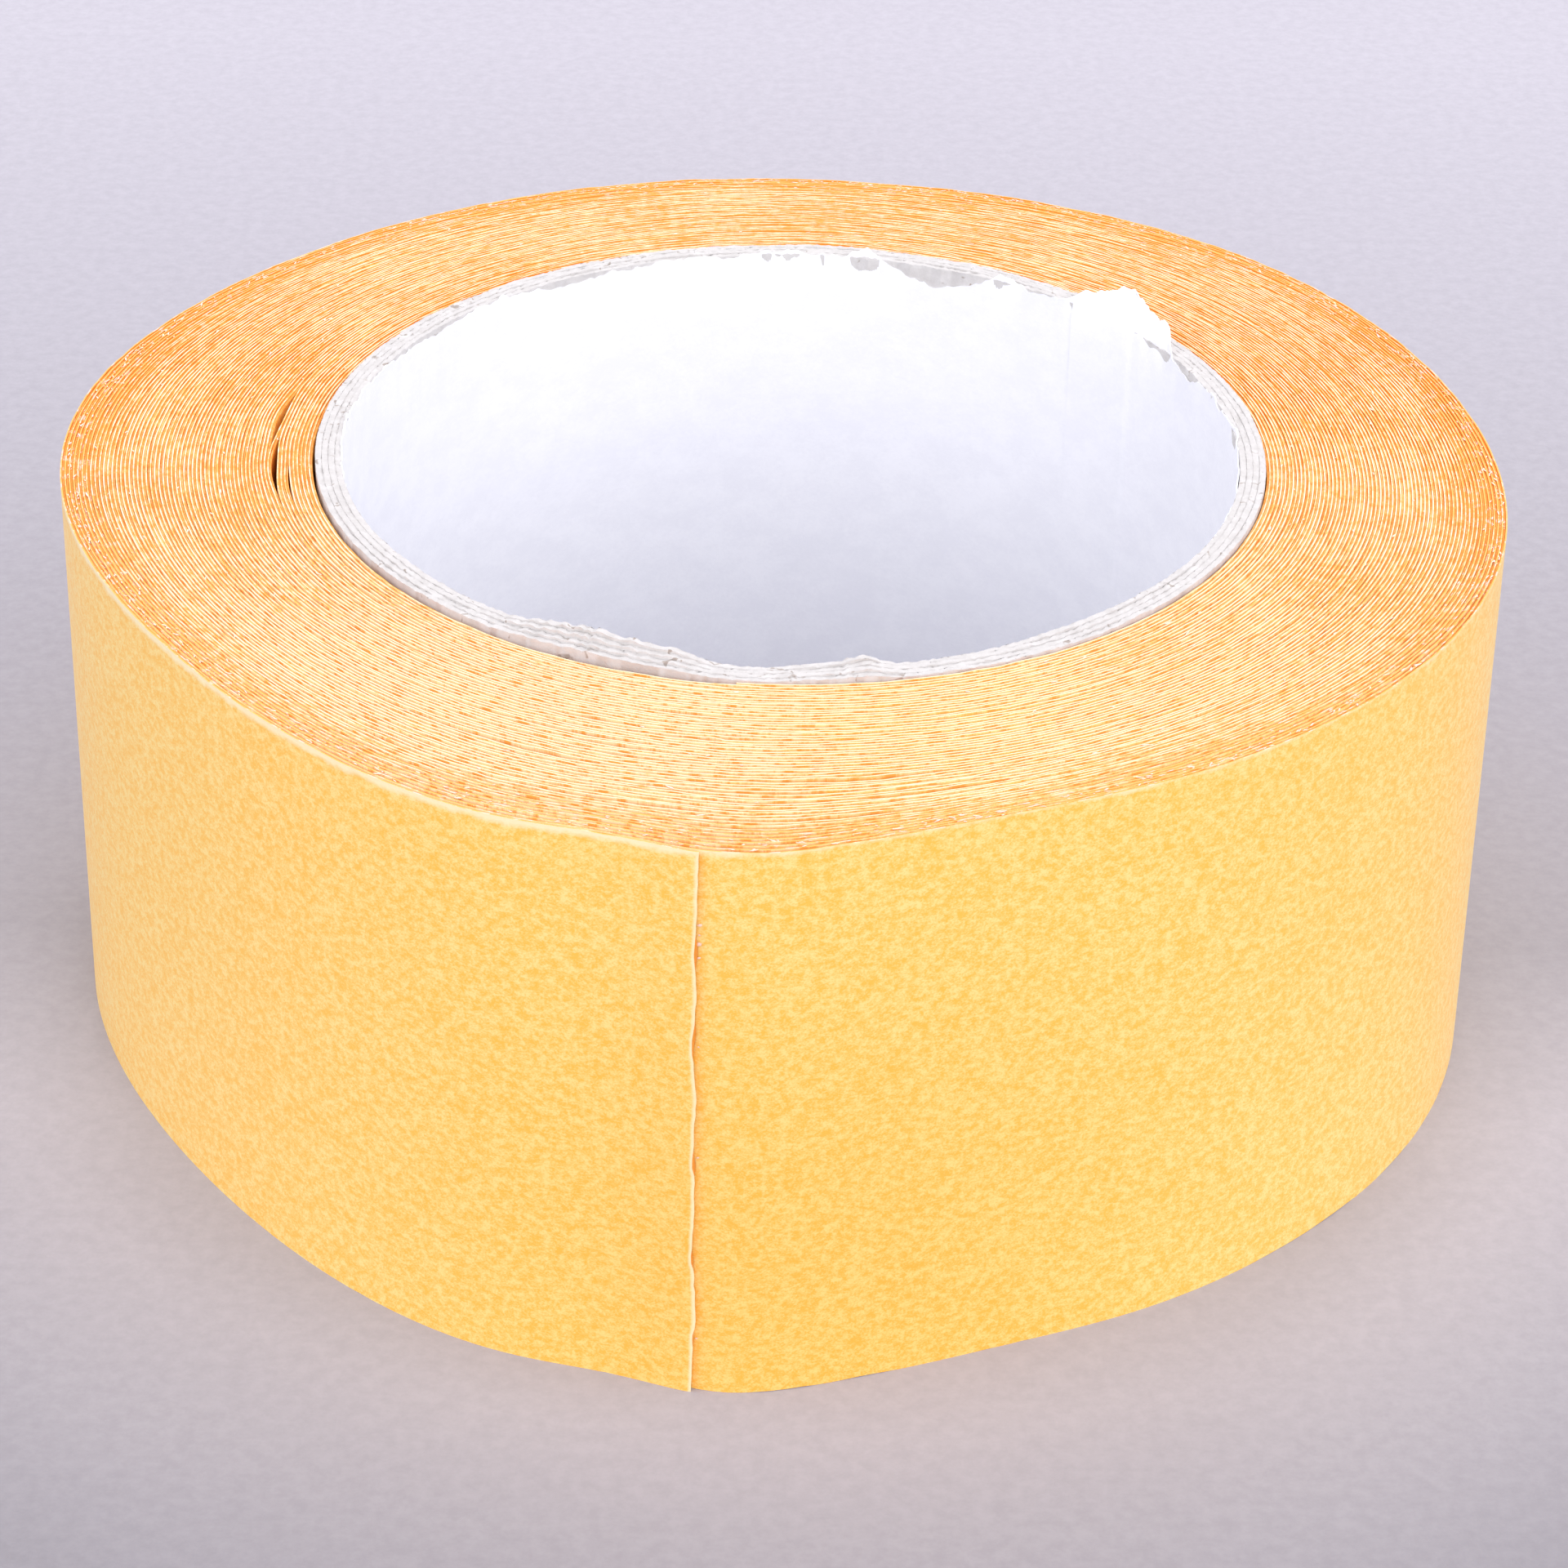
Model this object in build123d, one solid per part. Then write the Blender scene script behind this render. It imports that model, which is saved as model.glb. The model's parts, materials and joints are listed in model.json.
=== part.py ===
"""Roll of double-sided cloth tape, wound with its release paper outwards on a paperboard core.

The roll lies on a side face. +Z is the core's axis, and the origin is where that axis meets the lower side.
One web of four layers, each as thin as it really is, is wound in a spiral round the core:
inner adhesive, cloth carrier, outer adhesive and release paper, from the inside out.
The cut end of the web is a tail that can be lifted off the roll, and the end of its release paper can be
peeled off the tail.
All sizes are in millimetres and degrees.
"""

from build123d import *
from math import cos, degrees, pi, radians, sin, sqrt
import os

# ---- Driving dimensions -------------------------------------------------------------------------
# Core: a 3 inch spiral-wound board tube with a white sheet glued inside it
bore_diameter = 76.2
inner_sheet_thickness = 0.12
inner_sheet_lap = 7.0  # length of the sheet's overlap, round the bore
inner_sheet_lap_angle = 38.0  # where the overlap begins
inner_sheet_glue = 0.02  # glue line inside the overlap
inner_sheet_step = 0.5  # length over which the sheet steps inwards onto its own start
board_ply_thickness = 0.55
board_ply_count = 4
board_strip_width = 100.0  # width of the strip that each ply is wound from
board_butt_gap = 0.3  # gap between a strip's edges, at its helical seam

# Web: the four layers of the tape, and how it is slit and wound
web_width = 50.0  # the same knife cut slits the core
paper_thickness = 0.12
adhesive_thickness = 0.066
cloth_thickness = 0.08
adhesive_setback = 0.15  # the adhesive stops this far short of each slit edge
cloth_setback = 0.06
turns = 60

# Tail: the free end of the web
tail_angle = -95.5  # where the cut end stands
tail_length = 26.0
loose_paper_length = 18.0  # the release paper peels off the tail from the cut end as far as this
tail_root_gap = 0.05  # between the fixed web and the root of the tail, and where the loose paper begins
tail_lift_clearance = 0.03  # under the tail's inner adhesive
paper_lift_clearance = 0.02  # under the loose paper

# ---- Worked out from them -----------------------------------------------------------------------
bore_radius = bore_diameter / 2
board_inner_radius = bore_radius + inner_sheet_thickness
core_radius = board_inner_radius + board_ply_count * board_ply_thickness
core_width = web_width

cloth_offset = adhesive_thickness
outer_adhesive_offset = cloth_offset + cloth_thickness
paper_offset = outer_adhesive_offset + adhesive_thickness
web_thickness = paper_offset + paper_thickness

# Each half turn is an arc. Its centre stands a quarter of the pitch to one side of the axis, so the arcs
# meet in tangents, and every turn lies on the one below it.
half_turns = 2 * turns
centre_shift = web_thickness / 4
first_radius = core_radius + centre_shift
last_radius = first_radius + (half_turns - 1) * web_thickness / 2
roll_radius = last_radius + web_thickness
root_gap_sweep = degrees(tail_root_gap / roll_radius)
cut_end_angle = 360.0  # in the spiral's own frame, as the next two are
tail_root_angle = cut_end_angle - degrees(tail_length / roll_radius)
loose_paper_angle = cut_end_angle - degrees(loose_paper_length / roll_radius)

z_axis = (0, 0, 1)


def arc_centre(half_turn):
    """Centre of a half turn's arc, in the spiral's own frame."""
    side = -1 if half_turn % 2 == 0 else 1
    return (side * centre_shift, 0)


def at(centre, radius, angle):
    """The point at an angle on a circle."""
    return (centre[0] + radius * cos(radians(angle)), centre[1] + radius * sin(radians(angle)))


def upright(outline, width, setback):
    """A flat outline made as tall as the web or the core is wide, less a setback at both ends."""
    solid = extrude(Face(Wire(outline)), amount=width - 2 * setback, dir=z_axis)
    return Pos(0, 0, setback) * solid


def in_place(spiral_part):
    """Turns a part from the spiral's own frame to where the cut end stands."""
    return Rot(0, 0, tail_angle) * spiral_part


def wound_layer(offset, thickness, setback):
    """One layer of the web, from its start on the core to the root of the tail."""
    inner, outer = [], []
    for half_turn in range(half_turns):
        start = 0 if half_turn % 2 == 0 else 180
        sweep = 180 if half_turn < half_turns - 1 else tail_root_angle - 180
        centre = arc_centre(half_turn)
        radius = first_radius + half_turn * web_thickness / 2 + offset
        inner.append(CenterArc(centre, radius, start, sweep))
        outer.append(CenterArc(centre, radius + thickness, start, sweep))
    first, last = arc_centre(0), arc_centre(half_turns - 1)
    low, high = first_radius + offset, last_radius + offset
    start_edge = Line(at(first, low, 0), at(first, low + thickness, 0))
    end_edge = Line(at(last, high, tail_root_angle), at(last, high + thickness, tail_root_angle))
    return in_place(upright([*inner, end_edge, *reversed(outer), start_edge], web_width, setback))


def tail_layer(offset, thickness, setback, root=tail_root_angle, end=cut_end_angle):
    """The same layer along the tail, between two angles."""
    centre = arc_centre(half_turns - 1)
    low = last_radius + offset
    high = low + thickness
    start = root + root_gap_sweep
    outline = [
        CenterArc(centre, low, start, end - start),
        Line(at(centre, low, end), at(centre, high, end)),
        CenterArc(centre, high, start, end - start),
        Line(at(centre, low, start), at(centre, high, start)),
    ]
    return in_place(upright(outline, web_width, setback))


def inner_sheet():
    """White sheet that lines the bore. Its end steps inwards and laps over its start."""
    outside = board_inner_radius
    inside = bore_radius
    lap_outside = inside - inner_sheet_glue
    lap_inside = lap_outside - inner_sheet_thickness
    start = inner_sheet_lap_angle
    lap_sweep = degrees(inner_sheet_lap / bore_radius)
    step_sweep = degrees(inner_sheet_step / bore_radius)
    axis = (0, 0)
    outline = [
        CenterArc(axis, outside, start, 360 - step_sweep),
        Line(at(axis, outside, start - step_sweep), at(axis, lap_outside, start)),
        CenterArc(axis, lap_outside, start, lap_sweep),
        Line(at(axis, lap_outside, start + lap_sweep), at(axis, lap_inside, start + lap_sweep)),
        CenterArc(axis, lap_inside, start, lap_sweep),
        Line(at(axis, lap_inside, start), at(axis, inside, start - step_sweep)),
        CenterArc(axis, inside, start, 360 - step_sweep),
        Line(at(axis, inside, start), at(axis, outside, start)),
    ]
    return upright(outline, core_width, 0)


def board_ply(number):
    """One ply of the core: a tube slit along the helical seam where its strip's edges meet."""
    inside = board_inner_radius + number * board_ply_thickness
    outside = inside + board_ply_thickness
    tube = upright([CenterArc((0, 0), outside, 0, 360)], core_width, 0)
    tube -= upright([CenterArc((0, 0), inside, 0, 360)], core_width, 0)
    middle = (inside + outside) / 2
    round_the_tube = 2 * pi * middle
    lead = board_strip_width / sqrt(1 - (board_strip_width / round_the_tube) ** 2)
    overrun = 4 * board_ply_thickness
    path = Pos(0, 0, -overrun) * Helix(lead, core_width + 2 * overrun, middle)
    seam_plane = Plane(origin=path @ 0, x_dir=(1, 0, 0), z_dir=path % 0)
    section = seam_plane * Rectangle(2 * board_ply_thickness, board_butt_gap)
    seam = sweep(section, path=path, is_frenet=True)
    turn = number * 360 / board_ply_count
    return Rot(0, 0, turn) * (tube - seam)


def build():
    """Every piece of the roll, by name."""
    pieces = {"core_inner_sheet": inner_sheet()}
    for number in range(board_ply_count):
        pieces[f"core_board_ply_{number + 1}"] = board_ply(number)
    pieces["inner_adhesive"] = wound_layer(0, adhesive_thickness, adhesive_setback)
    pieces["cloth_carrier"] = wound_layer(cloth_offset, cloth_thickness, cloth_setback)
    pieces["outer_adhesive"] = wound_layer(outer_adhesive_offset, adhesive_thickness, adhesive_setback)
    pieces["release_paper"] = wound_layer(paper_offset, paper_thickness, 0)
    pieces["tail_inner_adhesive"] = tail_layer(
        tail_lift_clearance, adhesive_thickness - tail_lift_clearance, adhesive_setback
    )
    pieces["tail_cloth_carrier"] = tail_layer(cloth_offset, cloth_thickness, cloth_setback)
    pieces["tail_outer_adhesive"] = tail_layer(
        outer_adhesive_offset, adhesive_thickness - paper_lift_clearance, adhesive_setback
    )
    pieces["tail_held_paper"] = tail_layer(
        paper_offset - paper_lift_clearance,
        paper_thickness + paper_lift_clearance,
        setback=0,
        end=loose_paper_angle,
    )
    pieces["tail_loose_paper"] = tail_layer(paper_offset, paper_thickness, 0, root=loose_paper_angle)
    return pieces


def outside_at(angle):
    """The point of the roll's outside at an angle of the last half turn, with the spiral in place."""
    x, y = at(arc_centre(half_turns - 1), roll_radius, angle)
    return tuple(round(value, 4) for value in (Rot(0, 0, tail_angle) * Pos(x, y, 0)).position)


if __name__ == "__main__":
    os.makedirs("parts", exist_ok=True)
    for name, piece in build().items():
        export_step(piece, f"parts/{name}.step")
    tape_length = pi * (roll_radius**2 - core_radius**2) / web_thickness
    print("core radius", round(core_radius, 3), "roll radius", round(roll_radius, 3))
    print("length of the web", round(tape_length))
    print("tail's root", outside_at(tail_root_angle), "loose paper's root", outside_at(loose_paper_angle))
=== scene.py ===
"""Looks of a roll of double-sided cloth tape, which lies on a side face.

The web of the tape is wound in a spiral from its four layers, and the roll is as uneven as a used one:
loose turns open into slits, and the outer turns stand up in a ridge beside the cut end. The core is a
board tube with a torn white sheet inside it. Lengths are in metres, and names ending in _mm in millimetres.
"""

import json
import math

import bmesh
import bpy
import numpy as np
from mathutils import Matrix, Vector


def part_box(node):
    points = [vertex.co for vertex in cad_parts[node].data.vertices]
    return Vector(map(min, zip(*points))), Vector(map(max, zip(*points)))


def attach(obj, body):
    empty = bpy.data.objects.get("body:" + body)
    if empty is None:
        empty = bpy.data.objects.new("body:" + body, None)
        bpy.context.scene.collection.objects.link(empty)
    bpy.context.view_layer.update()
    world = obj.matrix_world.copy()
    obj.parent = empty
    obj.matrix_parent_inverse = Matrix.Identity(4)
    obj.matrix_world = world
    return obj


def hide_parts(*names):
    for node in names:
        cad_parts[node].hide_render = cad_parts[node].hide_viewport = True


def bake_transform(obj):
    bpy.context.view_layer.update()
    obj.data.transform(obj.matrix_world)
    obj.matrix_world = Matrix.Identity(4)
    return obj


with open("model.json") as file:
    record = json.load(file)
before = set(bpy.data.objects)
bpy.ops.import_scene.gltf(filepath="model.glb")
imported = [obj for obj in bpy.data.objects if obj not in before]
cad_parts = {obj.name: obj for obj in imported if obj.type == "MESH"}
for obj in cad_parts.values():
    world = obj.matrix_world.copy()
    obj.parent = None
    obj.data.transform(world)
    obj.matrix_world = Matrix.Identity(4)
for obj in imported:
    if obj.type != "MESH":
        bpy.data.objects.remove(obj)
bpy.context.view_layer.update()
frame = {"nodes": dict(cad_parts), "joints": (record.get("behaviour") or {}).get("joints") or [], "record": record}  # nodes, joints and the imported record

MM = 0.001
UP = Vector((0, 0, 1))

# ---- Sizes: taken from the frame, with the web's layers as in the CAD source ---------------------
bore_radius = next(m for m in frame["record"]["mounts"] if m["name"] == "bore")["dims"]["r_mm"] * MM
core_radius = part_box("core_board_ply_4")[1].x
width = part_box("release_paper")[1].z
roll_radius = (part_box("release_paper")[1].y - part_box("release_paper")[0].y) / 2
hinges = {joint["name"]: Vector(joint["pos_m"]) for joint in frame["joints"]}

layer_mm = {"inner_adhesive": 0.066, "cloth_carrier": 0.08, "outer_adhesive": 0.066, "release_paper": 0.12}
setback_mm = {"inner_adhesive": 0.17, "cloth_carrier": 0.12, "outer_adhesive": 0.17, "release_paper": 0.0}
pitch = sum(layer_mm.values()) * MM
turns = round((roll_radius - core_radius) / pitch)
cut_angle = math.radians(-95.5)
steps_per_turn = 360

# ---- How the real roll departs from a true spiral ------------------------------------------------
eccentric_mm = 3.16  # the winding is thicker at the front than at the back by twice this
eccentric_angle = math.radians(-96.5)
outline_waves = (  # count round the roll, height in mm, angle of a crest
    (3, 0.72, 30),
    (4, 0.64, -101),
    (5, 0.47, -102.4),
)
ridge_mm = (  # angle, half width in degrees, height in mm
    (-94.0, 7.1, 2.40),
    (-97.2, 9.0, -1.77),
    (-73.8, 11.8, -1.22),
)
core_slip_mm = 0.36  # the core has slid up through the winding by this
core_tilt_mm = 0.30  # and stands higher at the back than on average by this
slit_list = (  # turn, angle, half width in degrees, opening in mm
    (10, 174.5, 5.5, 0.62),
    (9, -174.0, 5.5, 0.55),
    (6, -169.5, 3.5, 0.16),
    (13, -99.0, 6.0, 0.10),
    (20, -106.5, 5.0, 0.16),
    (22, -96.0, 7.5, 0.26),
    (26, -108.5, 6.0, 0.18),
    (28, -104.5, 5.5, 0.22),
    (31, -103.5, 5.0, 0.20),
    (35, -110.0, 6.5, 0.24),
    (37, -85.0, 6.5, 0.28),
    (41, -90.5, 6.0, 0.28),
    (44, -78.0, 6.0, 0.16),
    (47, -101.0, 5.0, 0.18),
    (50, -87.0, 5.0, 0.20),
    (52, -64.0, 8.0, 0.12),
    (33, -58.0, 8.0, 0.12),
    (24, -70.0, 7.0, 0.12),
)
slit_outward_share = 0.62  # share of a slit's opening that lies outside its true place
slit_bends_turns = 5  # a slit bends about this many turns on each side of it


def turned(angle, centre):
    """Angle from centre, within half a turn either way."""
    return (angle - centre + math.pi) % (2 * math.pi) - math.pi


def bump(angle, centre_degrees, half_width_degrees):
    """A smooth rise to 1 at an angle, gone at about twice its half width."""
    away = turned(angle, math.radians(centre_degrees)) / math.radians(half_width_degrees)
    return np.exp(-away * away)


def stand_out(angle, depth, turn):
    """How far a point of the winding lies outside its true place. depth is 0 at the core and 1 outside.

    The outline's waves grow with depth, and the ridge is in the outer turns only. At a slit the turns
    beyond it stand outwards and those within it inwards, over the few turns that are bent with it.
    """
    out = eccentric_mm * np.cos(angle - eccentric_angle) * depth
    for count, height, crest in outline_waves:
        out = out + height * np.cos(count * (angle - math.radians(crest))) * depth**2
    for centre, half_width, height in ridge_mm:
        out = out + height * bump(angle, centre, half_width) * depth**5
    for slit_turn, centre, half_width, opening in slit_list:
        beyond = turn - slit_turn
        side = np.where(beyond > 0, slit_outward_share, slit_outward_share - 1)
        fades = np.exp(-np.abs(beyond) / slit_bends_turns)
        out = out + opening * side * bump(angle, centre, half_width) * fades
    return out * MM


def new_piece(name, bm, body, slot, *stands_for):
    """Makes an object from a bmesh, which rides on a body and stands for CAD nodes."""
    mesh = bpy.data.meshes.new(name)
    bm.to_mesh(mesh)
    bm.free()
    piece = bpy.data.objects.new(name, mesh)
    bpy.context.scene.collection.objects.link(piece)
    if body:
        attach(piece, body)
    if stands_for:
        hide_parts(*stands_for)
    return piece


def finish_mesh(mesh, sharp_degrees, *materials):
    """Smooth faces with sharp corners, and the piece's materials."""
    mesh.shade_smooth()
    mesh.set_sharp_from_angle(angle=math.radians(sharp_degrees))
    for material in materials:
        mesh.materials.append(material)


def coordinates(mesh):
    """The mesh's vertices as an array."""
    found = np.empty(len(mesh.vertices) * 3)
    mesh.vertices.foreach_get("co", found)
    return found.reshape(-1, 3)


def set_coordinates(mesh, places):
    mesh.vertices.foreach_set("co", places.astype(np.float32).ravel())
    mesh.update()


def set_attribute(mesh, name, values):
    mesh.attributes.new(name, "FLOAT", "POINT").data.foreach_set("value", values.astype(np.float32))


def flat_strip(length_steps, width_steps):
    """A closed strip, 1 long, 1 wide and 1 thick, with its length along X and its thickness along Z."""
    bm = bmesh.new()
    bmesh.ops.create_grid(bm, x_segments=length_steps, y_segments=width_steps, size=0.5)
    bmesh.ops.translate(bm, verts=bm.verts, vec=(0.5, 0.5, 0))
    outer = bmesh.ops.extrude_face_region(bm, geom=bm.faces[:])["geom"]
    bmesh.ops.translate(bm, verts=[v for v in outer if isinstance(v, bmesh.types.BMVert)], vec=UP)
    bmesh.ops.recalc_face_normals(bm, faces=bm.faces)
    return bm


def wander(position, step, reach, seed):
    """A random line that changes every step of a position, within reach either way."""
    draws = np.random.default_rng(seed)
    knots = np.arange(position.min(), position.max() + 2 * step, step)
    return np.interp(position, knots, draws.uniform(-reach, reach, len(knots)))


# ---- The web -------------------------------------------------------------------------------------
offsets = {}
height_so_far = 0.0
for layer, thickness in layer_mm.items():
    offsets[layer] = height_so_far
    height_so_far += thickness * MM
web_end = 2 * math.pi * turns


def angle_of(point):
    return math.atan2(point.y, point.x)


tail_start = web_end - turned(cut_angle, angle_of(hinges["tail_lift"]))
loose_start = web_end - turned(cut_angle, angle_of(hinges["paper_peel"]))
edge_seed = {"inner_adhesive": 21, "cloth_carrier": 22, "outer_adhesive": 23, "release_paper": 24}
overrun_mm = {  # how far each layer runs past the cut end
    "inner_adhesive": -0.10,
    "cloth_carrier": -0.14,
    "outer_adhesive": -0.14,
    "release_paper": 0.0,
}

bare_glue_mm = (  # where the paper is chipped off the glue at the cut end: height, half length
    (41.5, 1.7),
    (33.1, 1.8),
    (21.9, 1.1),
    (12.8, 0.6),
    (5.1, 0.5),
)
chip_depth_mm = 0.14
end_zone = 1.2 * MM  # the web is ragged and pressed down over this length before its cut end
end_dip = 0.06 * MM
finer_at_end = 1.6  # power by which the steps grow finer towards the cut end


def web_piece(name, layer, body, slot, first, last, steps, rows, materials):
    """A stretch of one layer, wound in its place. first and last are angles along the spiral."""
    piece = new_piece(name, flat_strip(steps, rows), body, slot, name)
    mesh = piece.data
    share, across, through = coordinates(mesh).T
    at_cut_end = last == web_end
    if at_cut_end:
        share = 1 - (1 - share) ** finer_at_end
    wound = first + share * (last - first)
    angle = cut_angle + wound
    thickness = layer_mm[layer] * MM
    radius = core_radius + pitch * wound / (2 * math.pi) + offsets[layer] + through * thickness
    along = wound * (core_radius + pitch * wound / (4 * math.pi))
    setback = setback_mm[layer] * MM
    waver = wander(along, 1.6 * MM, 0.06 * MM, edge_seed[layer])
    waver = waver + wander(along, 21 * MM, 0.05 * MM, seed=7)
    edge = (across - 0.5) * 2
    at_slit_edge = np.abs(edge) > 0.99
    height = setback + across * (width - 2 * setback) + waver * edge * at_slit_edge
    height = np.maximum(height, 0)  # nothing hangs below the side that the roll lies on
    depth = pitch * (wound / (2 * math.pi) + 1) / (roll_radius - core_radius)
    radius = radius + stand_out(angle, depth, wound / (2 * math.pi))
    set_attribute(mesh, "along_web", along)
    set_attribute(mesh, "turn", wound / (2 * math.pi))
    if at_cut_end:
        near_end = np.clip(1 - (web_end - wound) * roll_radius / end_zone, 0, 1)
        set_attribute(mesh, "near_end", near_end)
        ragged = wander(height, 0.8 * MM, 0.06 * MM, edge_seed[layer])
        ragged = ragged + wander(height, 3.5 * MM, 0.18 * MM, seed=3)
        bare = np.zeros_like(height)
        for middle, half_length in bare_glue_mm:
            bare = bare + np.exp(-(((height / MM - middle) / half_length) ** 2))
        chip = -chip_depth_mm if layer == "release_paper" else chip_depth_mm
        beyond = overrun_mm[layer] + bare * chip
        angle = angle + near_end * (beyond * MM + ragged) / roll_radius
        radius = radius - near_end**2 * end_dip
    set_coordinates(mesh, np.stack((radius * np.cos(angle), radius * np.sin(angle), height), axis=1))
    finish_mesh(mesh, 40, *materials)
    if len(materials) > 1:
        for face in mesh.polygons:
            on_slit_edge = abs(face.normal.z) > 0.7
            faces_inwards = face.normal.dot(face.center) < 0
            if on_slit_edge:
                face.material_index = 1
            elif len(materials) > 2 and faces_inwards:
                face.material_index = 2
    return piece


# ---- Materials -----------------------------------------------------------------------------------
def node_maker(tree):
    """A function that adds a node to a tree, and sets its properties and its inputs.

    An input is given by its name, or as i and its number, such as i0.
    """
    def add(kind, properties=None, **inputs):
        node = tree.nodes.new(kind)
        for key, value in (properties or {}).items():
            setattr(node, key, value)
        for key, value in inputs.items():
            by_number = key[0] == "i" and key[1:].isdigit()
            socket = node.inputs[int(key[1:]) if by_number else key]
            if isinstance(value, bpy.types.NodeSocket):
                tree.links.new(value, socket)
            else:
                socket.default_value = value
        return node
    return add


def new_material(name, **shader):
    """A material with a Principled BSDF, and the function that adds nodes to it."""
    material = bpy.data.materials.new(name)
    material.use_nodes = True
    tree = material.node_tree
    bsdf = tree.nodes["Principled BSDF"]
    for key, value in shader.items():
        bsdf.inputs[key.replace("_", " ")].default_value = value
    return material, node_maker(tree), bsdf, tree.links.new


def shade(red, green, blue):
    """A colour from its sRGB values of 0 to 255."""
    def linear(value):
        value /= 255
        return value / 12.92 if value <= 0.04045 else ((value + 0.055) / 1.055) ** 2.4
    return (linear(red), linear(green), linear(blue), 1.0)


def mottle_group():
    """Soft blotches with fine grain in them, as in translucent paper. Its mask runs from 0 to 1."""
    group = bpy.data.node_groups.new("Paper mottle", "ShaderNodeTree")
    for name in ("Blotch size", "Grain size"):
        group.interface.new_socket(name, in_out="INPUT", socket_type="NodeSocketFloat")
    for name in ("Mask", "Height"):
        group.interface.new_socket(name, in_out="OUTPUT", socket_type="NodeSocketFloat")
    add = node_maker(group)
    given, result = add("NodeGroupInput"), add("NodeGroupOutput")
    whole_place = add("ShaderNodeTexCoord").outputs["Object"]
    flattened = add("ShaderNodeVectorMath", {"operation": "MULTIPLY"}, i0=whole_place)
    flattened.inputs[1].default_value = (1.0, 1.0, 1.4)
    place = flattened.outputs[0]
    blotch_scale = add("ShaderNodeMath", {"operation": "DIVIDE"}, i0=1.0, i1=given.outputs["Blotch size"])
    grain_scale = add("ShaderNodeMath", {"operation": "DIVIDE"}, i0=1.0, i1=given.outputs["Grain size"])
    blotch = add(
        "ShaderNodeTexNoise", Vector=place, Scale=blotch_scale.outputs[0], Detail=4.0, Roughness=0.68
    )
    grain = add(
        "ShaderNodeTexNoise", Vector=place, Scale=grain_scale.outputs[0], Detail=2.0, Roughness=0.7
    )
    both = add("ShaderNodeMath", {"operation": "MULTIPLY_ADD"}, i0=grain.outputs[0], i1=0.45, i2=-0.225)
    total = add("ShaderNodeMath", {"operation": "ADD"}, i0=blotch.outputs[0], i1=both.outputs[0])
    mask = add("ShaderNodeMapRange", i0=total.outputs[0], i1=0.37, i2=0.65)
    group.links.new(mask.outputs[0], result.inputs["Mask"])
    group.links.new(total.outputs[0], result.inputs["Height"])
    return group


paper_mottle = mottle_group()


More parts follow.
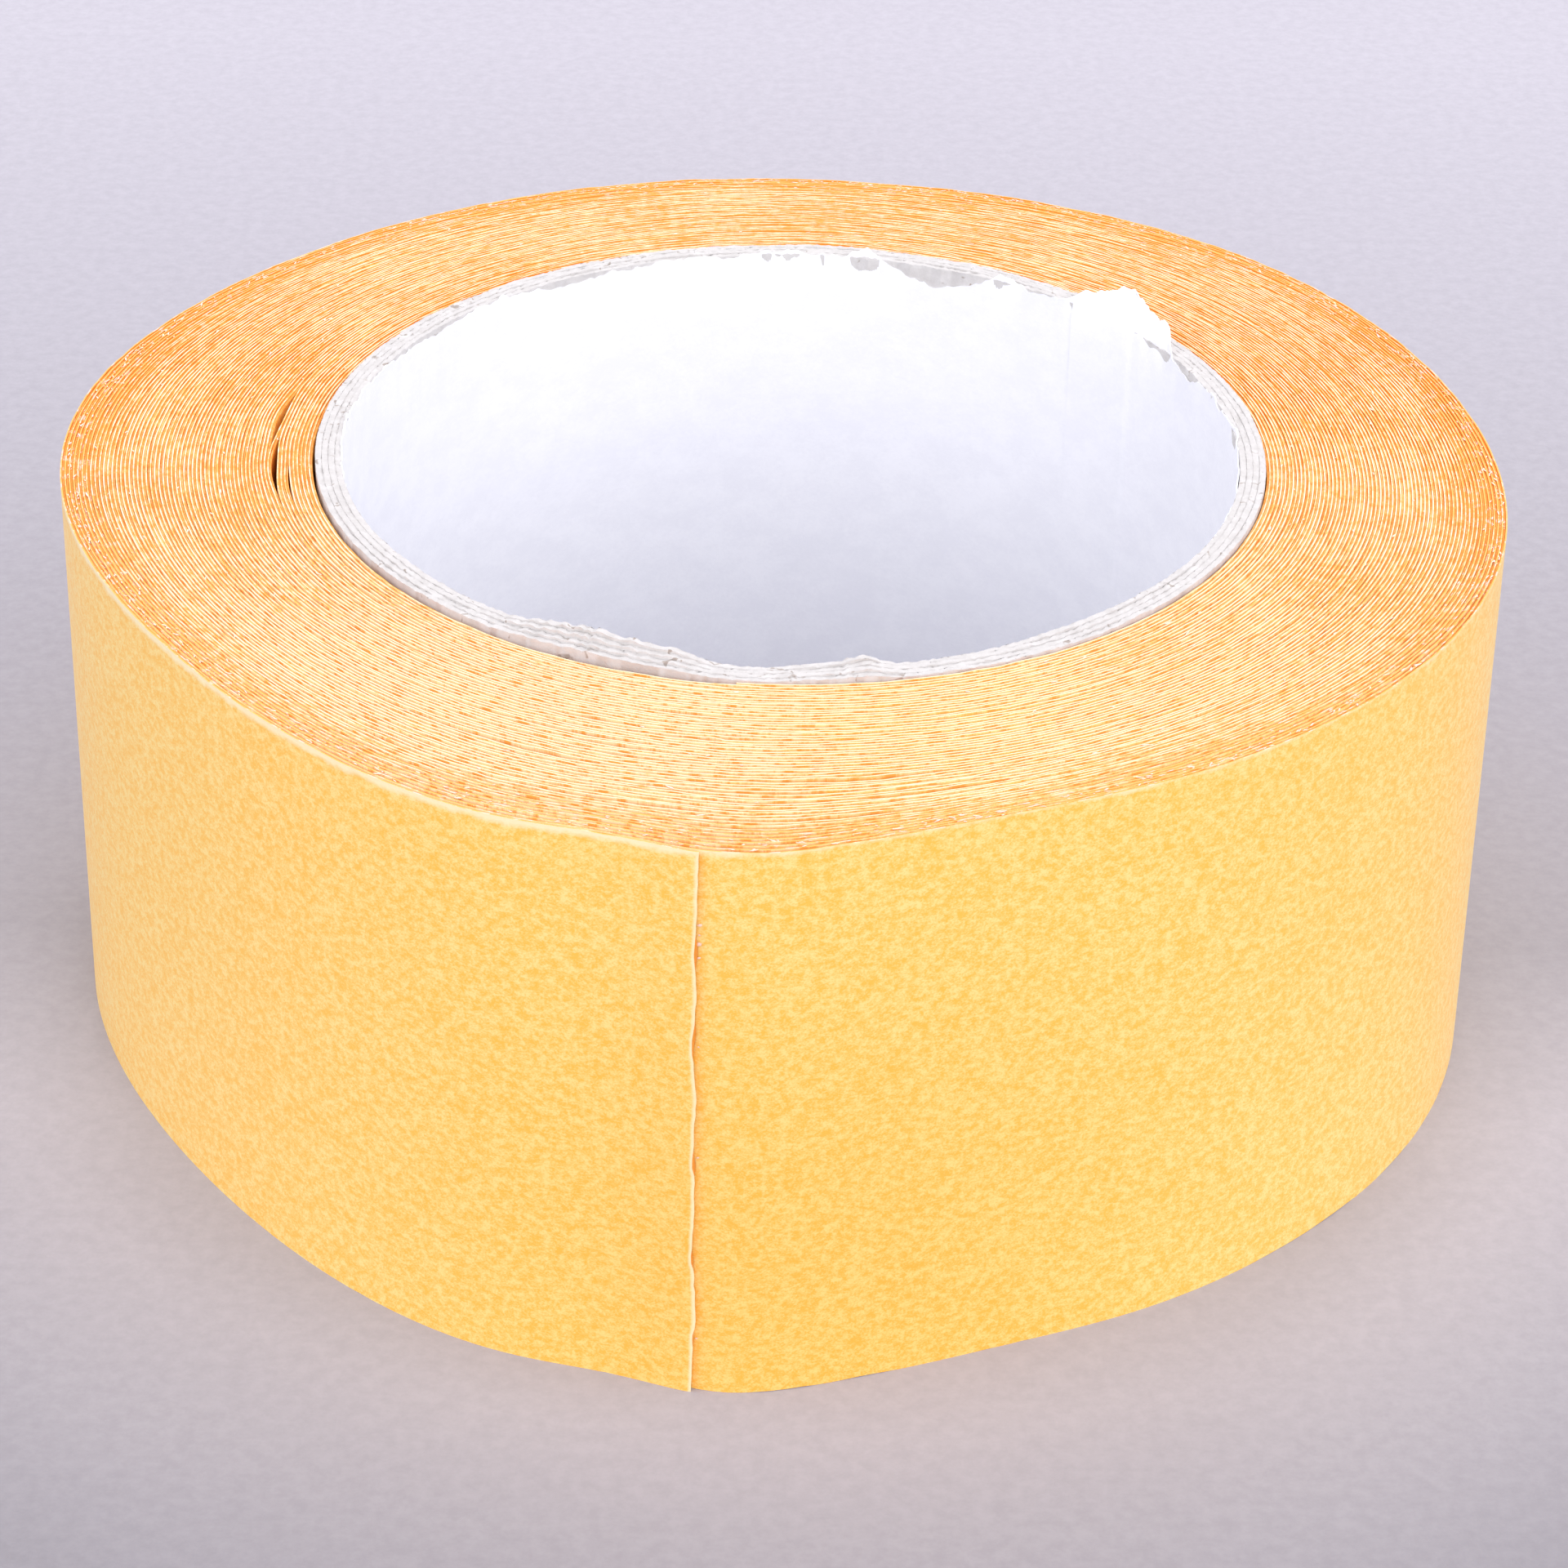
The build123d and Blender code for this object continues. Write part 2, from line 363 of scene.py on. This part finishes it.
def release_paper_material():
    """Yellow siliconised paper: smooth and cloudy, pale with wear at its upper edge and cut end, with a
    painted highlight along the upper edge on the left. Painted shade darkens it at the low front.

    The inner turns' upper edges are stained with adhesive here and there.
    """
    material, add, bsdf, link = new_material(
        "release_paper", Roughness=0.45, Specular_IOR_Level=0.5, Sheen_Weight=0.1
    )
    mottle = add("ShaderNodeGroup", {"node_tree": paper_mottle})
    mottle.inputs["Blotch size"].default_value = 0.0008
    mottle.inputs["Grain size"].default_value = 0.0002
    place = add("ShaderNodeTexCoord").outputs["Object"]
    tint = add("ShaderNodeMix", {"data_type": "RGBA"}, i0=mottle.outputs["Mask"])
    tint.inputs[6].default_value = paper_deep
    tint.inputs[7].default_value = paper_pale
    where = add("ShaderNodeSeparateXYZ", Vector=place)
    ragged = add("ShaderNodeTexNoise", Vector=place, Scale=420.0, Detail=3.0, Roughness=0.7)
    rise = add("ShaderNodeMath", {"operation": "MULTIPLY_ADD"}, i0=ragged.outputs[0], i1=0.0011)
    link(where.outputs["Z"], rise.inputs[2])
    # Pale upper edge: partly the paper's own paler edge and partly a painted highlight, in a band that is
    # wider on the left side.
    left_side = add("ShaderNodeMapRange", i0=where.outputs["X"], i1=0.004, i2=-0.012)
    rim_start = add("ShaderNodeMath", {"operation": "MULTIPLY_ADD"}, i0=left_side.outputs[0], i1=-0.00045)
    rim_start.inputs[2].default_value = width + 0.0005
    above = add("ShaderNodeMath", {"operation": "SUBTRACT"}, i0=rise.outputs[0], i1=rim_start.outputs[0])
    rim = add("ShaderNodeMapRange", i0=above.outputs[0], i1=-0.00025, i2=0.00025, i4=0.85)
    near_end = add("ShaderNodeAttribute", {"attribute_name": "near_end"})
    end = add("ShaderNodeMapRange", i0=near_end.outputs["Fac"], i1=0.72, i2=0.90, i4=0.75)
    wear_and_highlight = add("ShaderNodeMath", {"operation": "MAXIMUM"}, i0=rim.outputs[0], i1=end.outputs[0])
    colour = add("ShaderNodeMix", {"data_type": "RGBA"}, i0=wear_and_highlight.outputs[0])
    # Painted shade: the colour is multiplied darker and deeper yellow towards the low front of the roll,
    # near the floor.
    painted_shade_distance = add("ShaderNodeVectorMath", {"operation": "DISTANCE"}, i0=place, i1=(0.004, -0.066, 0.004))
    deeper = add("ShaderNodeMapRange", i0=painted_shade_distance.outputs["Value"], i1=0.042, i2=0.008, i4=0.75)
    painted_shade_tint = add("ShaderNodeMix", {"data_type": "RGBA", "blend_type": "MULTIPLY"}, i0=deeper.outputs[0])
    link(tint.outputs[2], painted_shade_tint.inputs[6])
    painted_shade_tint.inputs[7].default_value = (1.0, 0.86, 0.64, 1)
    link(painted_shade_tint.outputs[2], colour.inputs[6])
    colour.inputs[7].default_value = shade(255, 240, 196)
    along = add("ShaderNodeAttribute", {"attribute_name": "along_web"})
    turn = add("ShaderNodeAttribute", {"attribute_name": "turn"})
    dash_place = add("ShaderNodeCombineXYZ", i0=along.outputs["Fac"], i1=0.0)
    dash = add("ShaderNodeTexNoise", Vector=dash_place.outputs[0], Scale=620.0, Detail=4.0, Roughness=0.65)
    stained = add("ShaderNodeMapRange", i0=dash.outputs[0], i1=0.48, i2=0.58)
    at_rim = add("ShaderNodeMapRange", i0=where.outputs["Z"], i1=width - 0.0005, i2=width - 0.0003)
    inner_turn = add("ShaderNodeMath", {"operation": "LESS_THAN"}, i0=turn.outputs["Fac"], i1=turns - 1.2)
    stain = add("ShaderNodeMath", {"operation": "MULTIPLY"}, i0=at_rim.outputs[0], i1=inner_turn.outputs[0])
    stain_mask = add("ShaderNodeMath", {"operation": "MULTIPLY"}, i0=stain.outputs[0])
    link(stained.outputs[0], stain_mask.inputs[1])
    finished = add("ShaderNodeMix", {"data_type": "RGBA"}, i0=stain_mask.outputs[0])
    link(colour.outputs[2], finished.inputs[6])
    finished.inputs[7].default_value = shade(244, 178, 86)
    link(finished.outputs[2], bsdf.inputs["Base Color"])
    bump_node = add("ShaderNodeBump", Strength=0.05, Distance=0.0001, Height=mottle.outputs["Height"])
    link(bump_node.outputs[0], bsdf.inputs["Normal"])
    return material


def cut_edge_material(name, pale, deep, dash_length, roughness, pale_share, front_paleness):
    """A layer's slit edge, as seen on the roll's side: pale fibres over adhesive, different on each turn.

    pale_share is how much of the edge is pale. front_paleness is added at the front, on all but the outer
    turns, which are stained deeper and hold fine strings of adhesive.
    """
    material, add, bsdf, link = new_material(name, Roughness=roughness, Specular_IOR_Level=0.12)
    along = add("ShaderNodeAttribute", {"attribute_name": "along_web"})
    turn = add("ShaderNodeAttribute", {"attribute_name": "turn"})
    place = add("ShaderNodeTexCoord").outputs["Object"]
    where = add("ShaderNodeSeparateXYZ", Vector=place)

    def weighed(value, weight, other):
        sum_node = add("ShaderNodeMath", {"operation": "MULTIPLY_ADD"}, i0=value, i1=weight, i2=other)
        return sum_node.outputs[0]

    dash_place = add("ShaderNodeCombineXYZ", i0=along.outputs["Fac"], i1=where.outputs["Z"])
    dash = add("ShaderNodeTexNoise", Vector=dash_place.outputs[0], Detail=3.0, Roughness=0.65)
    dash.inputs["Scale"].default_value = 1 / dash_length
    streak_place = add("ShaderNodeCombineXYZ", i0=along.outputs["Fac"], i1=where.outputs["Z"], i2=3.0)
    streak = add("ShaderNodeTexNoise", Vector=streak_place.outputs[0], Scale=60.0, Detail=1.0)
    patch = add("ShaderNodeTexNoise", Vector=place, Scale=1000.0, Detail=3.0, Roughness=0.65)
    broad = add("ShaderNodeTexNoise", Vector=place, Scale=110.0, Detail=2.0, Roughness=0.6)
    front = add("ShaderNodeMapRange", i0=where.outputs["Y"], i1=-0.026, i2=-0.046, i4=front_paleness)
    inward = add("ShaderNodeMapRange", i0=turn.outputs["Fac"], i1=turns - 6.0, i2=turns - 32.0)
    outer_band = add("ShaderNodeMapRange", i0=turn.outputs["Fac"], i1=turns - 13.0, i2=turns - 4.0)
    total = weighed(dash.outputs[0], 1.2, patch.outputs[0])
    total = weighed(streak.outputs[0], 0.7, total)
    total = weighed(broad.outputs[0], 0.45, total)
    total = weighed(front.outputs[0], inward.outputs[0], total)
    total = weighed(outer_band.outputs[0], -0.24, total)
    usual_total = 1.675
    softness = 0.17
    middle = usual_total + 0.5 * (0.5 - pale_share)
    mask = add("ShaderNodeMapRange", i0=total, i1=middle - softness, i2=middle + softness)
    tint = add("ShaderNodeMix", {"data_type": "RGBA"}, i0=mask.outputs[0])
    tint.inputs[6].default_value = deep
    tint.inputs[7].default_value = pale
    string = weighed(patch.outputs[0], 0.8, dash.outputs[0])
    strings = add("ShaderNodeMapRange", i0=string, i1=0.98, i2=1.08)
    away_from_edge = add("ShaderNodeMath", {"operation": "COMPARE"}, i0=where.outputs["Z"], i1=width / 2)
    away_from_edge.inputs[2].default_value = width / 2 - 0.8 * MM
    in_band = add("ShaderNodeMath", {"operation": "SUBTRACT"}, i0=outer_band.outputs[0])
    link(away_from_edge.outputs[0], in_band.inputs[1])
    in_band.use_clamp = True
    stringy = add("ShaderNodeMath", {"operation": "MULTIPLY"}, i0=strings.outputs[0], i1=in_band.outputs[0])
    colour = add("ShaderNodeMix", {"data_type": "RGBA"}, i0=stringy.outputs[0])
    link(tint.outputs[2], colour.inputs[6])
    colour.inputs[7].default_value = shade(246, 205, 184)
    link(colour.outputs[2], bsdf.inputs["Base Color"])
    bump_node = add("ShaderNodeBump", Strength=0.35, Distance=0.0001, Height=total)
    link(bump_node.outputs[0], bsdf.inputs["Normal"])
    return material


def board_material():
    """Light grey core board, with fibres and dark flecks of recycled paper."""
    material, add, bsdf, link = new_material("core_board", Roughness=0.9, Specular_IOR_Level=0.2)
    place = add("ShaderNodeTexCoord").outputs["Object"]
    fibre = add("ShaderNodeTexNoise", Vector=place, Scale=900.0, Detail=3.0, Roughness=0.7)
    tone = add("ShaderNodeMix", {"data_type": "RGBA"}, i0=fibre.outputs[0])
    tone.inputs[6].default_value = shade(184, 180, 176)
    tone.inputs[7].default_value = shade(219, 217, 215)
    fleck = add("ShaderNodeTexNoise", Vector=place, Scale=900.0, Detail=1.0, Distortion=1.2)
    fleck_mask = add("ShaderNodeMapRange", i0=fleck.outputs[0], i1=0.69, i2=0.75)
    marked = add("ShaderNodeMix", {"data_type": "RGBA"}, i0=fleck_mask.outputs[0])
    link(tone.outputs[2], marked.inputs[6])
    marked.inputs[7].default_value = shade(166, 156, 148)
    link(marked.outputs[2], bsdf.inputs["Base Color"])
    bump_node = add("ShaderNodeBump", Strength=0.5, Distance=0.00015, Height=fibre.outputs[0])
    link(bump_node.outputs[0], bsdf.inputs["Normal"])
    return material


def white_paper_material():
    """Bleached paper with a soft nap."""
    material, add, bsdf, link = new_material("white_paper", Roughness=0.8, Specular_IOR_Level=0.25)
    mottle = add("ShaderNodeGroup", {"node_tree": paper_mottle})
    mottle.inputs["Blotch size"].default_value = 0.004
    mottle.inputs["Grain size"].default_value = 0.0004
    tone = add("ShaderNodeMix", {"data_type": "RGBA"}, i0=mottle.outputs["Mask"])
    tone.inputs[6].default_value = shade(236, 237, 242)
    tone.inputs[7].default_value = shade(241, 242, 246)
    link(tone.outputs[2], bsdf.inputs["Base Color"])
    bump_node = add("ShaderNodeBump", Strength=0.12, Distance=0.0002, Height=mottle.outputs["Height"])
    link(bump_node.outputs[0], bsdf.inputs["Normal"])
    return material


paper_deep = shade(253, 194, 76)
paper_pale = shade(255, 223, 140)

release_paper = release_paper_material()
paper_edge = cut_edge_material(
    "paper_edge", pale=shade(255, 226, 190), deep=shade(244, 182, 102),
    dash_length=1.6 * MM, roughness=0.85, pale_share=0.64, front_paleness=0.32,
)
cloth_edge = cut_edge_material(
    "cloth_edge", pale=shade(252, 206, 138), deep=shade(240, 166, 82),
    dash_length=1.3 * MM, roughness=0.9, pale_share=0.34, front_paleness=0.16,
)
adhesive = cut_edge_material(
    "adhesive", pale=shade(248, 192, 110), deep=shade(236, 156, 66),
    dash_length=2 * MM, roughness=0.7, pale_share=0.24, front_paleness=0.08,
)
core_board = board_material()
white_paper = white_paper_material()


# ---- Wound layers and the tail -------------------------------------------------------------------
layer_looks = {
    "inner_adhesive": ("adhesive", (adhesive,)),
    "cloth_carrier": ("cloth", (cloth_edge,)),
    "outer_adhesive": ("adhesive", (adhesive,)),
    "release_paper": ("release_paper", (release_paper, paper_edge, adhesive)),  # face, edge, glued face
}
wound_steps = round(tail_start / (2 * math.pi) * steps_per_turn)
for layer, (slot, materials) in layer_looks.items():
    web_piece(layer, layer, "roll", slot, 0.0, tail_start, wound_steps, 1, materials)

tail_steps, tail_rows = 72, 72


tail_pieces = {
    "tail_inner_adhesive": ("inner_adhesive", tail_start, web_end, "roll", "tail", "tail_lift"),
    "tail_cloth_carrier": ("cloth_carrier", tail_start, web_end, "roll", "tail", "tail_lift"),
    "tail_outer_adhesive": ("outer_adhesive", tail_start, web_end, "roll", "tail", "tail_lift"),
    "tail_held_paper": ("release_paper", tail_start, loose_start, "roll", "tail", "tail_lift"),
    "tail_loose_paper": ("release_paper", loose_start, web_end, "tail", "tail_paper", "paper_peel"),
}
for name, (layer, first, last, held_by, moves_with, joint) in tail_pieces.items():
    slot, materials = layer_looks[layer]
    materials = materials[:2]
    steps = max(4, round(tail_steps * (last - first) / (web_end - tail_start)))
    piece = web_piece(name, layer, None, slot, first, last, steps, tail_rows, materials)
    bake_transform(piece)


# ---- Glue and fibres that stick out --------------------------------------------------------------
def glue_bits(name, body, places):
    """Crumbs of adhesive. Each place is a point, the way out from it, and the crumb's length and width."""
    draws = np.random.default_rng(90)
    bm = bmesh.new()
    for point, outward, length, breadth in places:
        along = Vector((-point.y, point.x, 0)).normalized()
        side = along.cross(outward).normalized()
        turn = draws.uniform(-0.5, 0.5)
        first = along * math.cos(turn) + side * math.sin(turn)
        axes = Matrix((first, outward.cross(first).normalized(), outward)).transposed().to_4x4()
        size = Matrix.Diagonal((length, breadth, breadth * 0.4, 1))
        lump = bmesh.ops.create_icosphere(bm, subdivisions=1, radius=0.5)["verts"]
        for vert in lump:
            vert.co *= 1 + draws.uniform(-0.25, 0.25)
        bmesh.ops.transform(bm, matrix=Matrix.Translation(point) @ axes @ size, verts=lump)
    bmesh.ops.recalc_face_normals(bm, faces=bm.faces)
    piece = new_piece(name, bm, body, "adhesive")
    finish_mesh(piece.data, 60, pale_glue)


def surface_point(angle, depth, height):
    """A point of the winding, at a share of its depth."""
    turn = depth * turns
    radius = core_radius + depth * (roll_radius - core_radius) + float(stand_out(angle, depth, turn))
    return Vector((radius * math.cos(angle), radius * math.sin(angle), height))


crumb_count = 1500
outer_crumbs_share = 0.72


def crumbs_on_the_side():
    """Crumbs on the upper side face: many on the outer turns, few elsewhere."""
    draws = np.random.default_rng(91)
    places = []
    for _ in range(crumb_count):
        angle = draws.uniform(-math.pi, math.pi)
        if draws.random() < outer_crumbs_share:
            depth = 1 - abs(draws.normal(0, 0.045)) - 0.012
        else:
            depth = draws.uniform(0.05, 0.95)
        breadth = draws.uniform(0.05, 0.16) * MM
        point = surface_point(angle, depth, width + 0.01 * MM)
        places.append((point, UP, breadth * draws.uniform(1.2, 6.0), breadth))
    return places


cut_end_crumbs_mm = (  # height, length
    (43.5, 0.42),
    (42.6, 0.24),
    (41.8, 0.50),
    (40.6, 0.30),
    (32.6, 0.20),
    (22.4, 0.24),
    (5.1, 0.24),
)
past_cut_end = 0.0028  # radians


def crumbs_at_the_cut_end():
    """Crumbs squeezed out from under the cut end."""
    places = []
    for height_mm, size_mm in cut_end_crumbs_mm:
        point = surface_point(cut_angle + past_cut_end, 1.0, height_mm * MM)
        outward = Vector((point.x, point.y, 0)).normalized()
        places.append((point, outward, size_mm * MM, size_mm * 0.7 * MM))
    return places


pale_glue = new_material("pale_glue", Roughness=0.35, Base_Color=shade(246, 212, 190))[0]
glue_bits("side_face_glue", "roll", crumbs_on_the_side())
glue_bits("cut_end_glue", "roll", crumbs_at_the_cut_end())


# ---- Core ----------------------------------------------------------------------------------------
board_plies = [name for name in sorted(frame["nodes"]) if name.startswith("core_board_ply")]
ply_thickness = (core_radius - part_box("core_inner_sheet")[1].x) / len(board_plies)
sheet_outside = core_radius - ply_thickness * len(board_plies)


def ring(profile, steps):
    """A closed ring from a profile of (radius, height) corners."""
    bm = bmesh.new()
    corners = [bm.verts.new((radius, 0, height)) for radius, height in profile]
    sides = [bm.edges.new((corners[i - 1], corners[i])) for i in range(len(corners))]
    bmesh.ops.spin(
        bm, geom=corners + sides, cent=(0, 0, 0), axis=UP, dvec=(0, 0, 0), angle=2 * math.pi, steps=steps,
        use_merge=True, use_duplicate=False,
    )
    bmesh.ops.remove_doubles(bm, verts=bm.verts, dist=1e-7)
    bmesh.ops.recalc_face_normals(bm, faces=bm.faces)
    return bm


def core_rise(angle):
    """How far the core stands up out of the winding."""
    return (core_slip_mm + core_tilt_mm * np.sin(angle)) * MM


torn_board = (  # angle, half width in degrees, height over the core in mm
    (-110, 8.0, 1.2),
    (-119, 6.0, 0.6),
    (-103, 3.0, 0.3),
    (-86, 5.0, 0.4),
    (-81, 2.8, 0.8),
    (-135, 18.0, 0.35),
    (-45, 28.0, 0.25),
)

torn_depth = 2.2 * MM  # the board leans and frays only this near its upper edge


def board_ply(name, number):
    """A ply of the core, with a fuzzy, torn cut at its upper end and a groove on each side of it."""
    inside = sheet_outside + number * ply_thickness
    outside = inside + ply_thickness
    groove = 0.03 * MM
    middle = (inside + outside) / 2
    profile = (
        (inside, groove), (inside + groove, 0), (middle, 0), (outside - groove, 0),
        (outside, groove), (outside, width - torn_depth), (outside, width - groove),
        (outside - groove, width), (middle, width), (inside + groove, width),
        (inside, width - groove), (inside, width - torn_depth),
    )
    piece = new_piece(name, ring(profile, 720), "roll", "core_board", name)
    mesh = piece.data
    places = coordinates(mesh)
    draws = np.random.default_rng(40 + number)
    angle = np.arctan2(places[:, 1], places[:, 0])
    upper = np.where(places[:, 2] > width - torn_depth / 2, 1.0, 0.0)
    reach = 0.09 * MM
    fuzz = draws.uniform(-reach, reach * 0.6, len(places))
    fuzz = fuzz + wander(angle, 0.09, reach, seed=60 + number)
    torn = sum(height * bump(angle, centre, half_width) for centre, half_width, height in torn_board)
    outer_plies_tear_less = 1 - 0.2 * number
    torn = torn * MM * (1 + wander(angle, 0.009, 0.14, seed=80)) * outer_plies_tear_less
    places[:, 2] += core_rise(angle) + upper * (fuzz + torn)
    inward = upper * torn * 0.15
    places[:, 0] -= inward * np.cos(angle)
    places[:, 1] -= inward * np.sin(angle)
    set_coordinates(mesh, places)
    finish_mesh(mesh, 50, core_board)
    return piece


for number, name in enumerate(board_plies):
    board_ply(name, number)

sheet_thickness = 0.12 * MM
sheet_lap_angle = math.radians(38)
sheet_lap = 7.0 * MM / bore_radius
sheet_step = 0.5 * MM / bore_radius
sheet_glue = 0.02 * MM
rim_tears = (  # angle, half width in degrees, height of the rim over the core in mm
    (39, 5.5, 3.3), (32, 3.0, 1.5), (46, 4.0, 1.2), (24, 3.0, -0.6),
    (70, 6.0, -1.6), (60, 3.0, 0.6), (79.5, 2.4, 0.9), (88, 5.0, 0.4),
    (121, 6.0, -0.5), (150, 6.0, -0.4), (135, 4.0, 0.2), (175, 9.0, 0.3),
    (-155, 14.0, -0.5), (-112, 22.0, -1.8), (-80, 18.0, -1.0), (-40, 12.0, -0.3), (5, 9.0, 0.3),
)


def inner_sheet():
    """The white sheet: lapped at its seam, and torn all round its upper edge."""
    name = "core_inner_sheet"
    piece = new_piece(name, flat_strip(1110, 26), "roll", "white_paper", name)
    mesh = piece.data
    share, across, through = coordinates(mesh).T
    sweep = 2 * math.pi + sheet_lap
    wound = share * sweep
    angle = sheet_lap_angle + wound
    stepped = np.clip((wound - (2 * math.pi - sheet_step)) / sheet_step, 0, 1)
    radius = bore_radius - stepped * (sheet_thickness + sheet_glue) + through * sheet_thickness
    rim = np.zeros_like(angle)
    for centre, half_width, height in rim_tears:
        rim = rim + height * bump(angle, centre, half_width)
    ragged = wander(wound, 0.012, 0.16, seed=11) + wander(wound, 0.045, 0.22, seed=12)
    rim = (rim - 0.15 + ragged * (1 + 0.12 * np.abs(rim))) * MM
    near_rim = np.clip((across - 0.86) / 0.14, 0, 1)
    height = across * width + near_rim**1.5 * rim
    above = np.clip(height - width, 0, None)
    height = height + core_rise(angle)
    lean = 0.35 + 0.45 * (1 + np.sin(5 * angle + 1.0)) / 2
    radius = radius + above * lean + near_rim * wander(wound, 0.03, 0.10 * MM, seed=13)
    set_coordinates(mesh, np.stack((radius * np.cos(angle), radius * np.sin(angle), height), axis=1))
    finish_mesh(mesh, 60, white_paper)
    return piece


inner_sheet()


# ---- Studio --------------------------------------------------------------------------------------
def floor():
    """A sheet of pale card that the roll lies on. Its colour carries painted light: it is brighter towards
    the back, and a lighter ring in front of the roll is a painted pool of light.
    """
    bm = bmesh.new()
    bmesh.ops.create_grid(bm, x_segments=1, y_segments=1, size=6.0)
    mesh = bpy.data.meshes.new("floor")
    bm.to_mesh(mesh)
    bm.free()
    piece = bpy.data.objects.new("floor", mesh)
    bpy.context.scene.collection.objects.link(piece)
    material, add, bsdf, link = new_material("floor_card", Roughness=0.85, Specular_IOR_Level=0.2)
    place = add("ShaderNodeTexCoord").outputs["Object"]
    grain = add("ShaderNodeTexNoise", Vector=place, Scale=650.0, Detail=4.0, Roughness=0.75)
    speckle = add("ShaderNodeMapRange", i0=grain.outputs[0], i1=0.36, i2=0.64)
    tone = add("ShaderNodeMix", {"data_type": "RGBA"}, i0=speckle.outputs[0])
    tone.inputs[6].default_value = shade(181, 178, 186)
    tone.inputs[7].default_value = shade(189, 186, 194)
    where = add("ShaderNodeSeparateXYZ", Vector=place)
    away = add("ShaderNodeVectorMath", {"operation": "LENGTH"}, Vector=place)
    # Painted light: a lighter ring of the card in front of the roll, standing in for a pool of light.
    lit_ring = add("ShaderNodeMapRange", i0=away.outputs["Value"], i1=0.104, i2=0.072, i4=0.34)
    in_front = add("ShaderNodeMapRange", i0=where.outputs["Y"], i1=0.012, i2=-0.028)
    pool = add("ShaderNodeMath", {"operation": "MULTIPLY"}, i0=lit_ring.outputs[0], i1=in_front.outputs[0])
    # Painted light: the card is painted brighter towards the back, as if lit from there.
    painted_back_light = add("ShaderNodeMapRange", i0=where.outputs["Y"], i1=-0.080, i2=0.215, i3=0.56, i4=0.95)
    in_pool = add("ShaderNodeMath", {"operation": "ADD"}, i0=pool.outputs[0], i1=0.58)
    painted_light_level = add("ShaderNodeMath", {"operation": "MAXIMUM"}, i0=painted_back_light.outputs[0], i1=in_pool.outputs[0])
    card_with_painted_light = add("ShaderNodeVectorMath", {"operation": "SCALE"}, i0=tone.outputs[2])
    link(painted_light_level.outputs[0], card_with_painted_light.inputs["Scale"])
    link(card_with_painted_light.outputs[0], bsdf.inputs["Base Color"])
    mesh.materials.append(material)


def area_light(name, place, aim, size, power, colour):
    """A square soft box that faces a point."""
    data = bpy.data.lights.new(name, "AREA")
    data.size = size
    data.energy = power
    data.color = colour
    light = bpy.data.objects.new(name, data)
    light.location = place
    light.rotation_euler = (Vector(aim) - Vector(place)).to_track_quat("-Z", "Y").to_euler()
    bpy.context.scene.collection.objects.link(light)


def studio():
    floor()
    world = bpy.data.worlds.new("studio")
    world.use_nodes = True
    world.node_tree.nodes["Background"].inputs["Color"].default_value = (0.93, 0.92, 1.0, 1)
    world.node_tree.nodes["Background"].inputs["Strength"].default_value = 1.12
    bpy.context.scene.world = world
    centre = (0, 0, width / 2)
    area_light("back_softbox", (0.1, 1.3, 1.3), centre, 1.4, 15.5, (1.0, 0.99, 1.0))
    area_light("front_softbox", (0.25, -1.4, 0.9), centre, 1.2, 10, (1.0, 0.98, 0.97))
    area_light("left_softbox", (-1.4, -0.6, 0.9), centre, 1.0, 5, (1.0, 0.98, 0.98))
    area_light("right_softbox", (1.4, -0.4, 0.9), centre, 1.0, 5.5, (1.0, 0.98, 0.98))


def camera():
    """Looks down at the roll from the front."""
    data = bpy.data.cameras.new("camera")
    data.lens = 108.9
    data.sensor_width = 36
    data.clip_start = 0.01
    data.clip_end = 30
    camera = bpy.data.objects.new("camera", data)
    pitch_down = math.radians(30.88)
    roll_over = math.radians(1.06)
    camera.matrix_world = (
        Matrix.Translation((-0.05 * MM, -361.98 * MM, 233.1 * MM))
        @ Matrix.Rotation(math.pi / 2 - pitch_down, 4, "X")
        @ Matrix.Rotation(roll_over, 4, "Z")
    )
    bpy.context.scene.collection.objects.link(camera)
    bpy.context.scene.camera = camera


studio()
camera()
bpy.context.scene.view_settings.view_transform = "Standard"
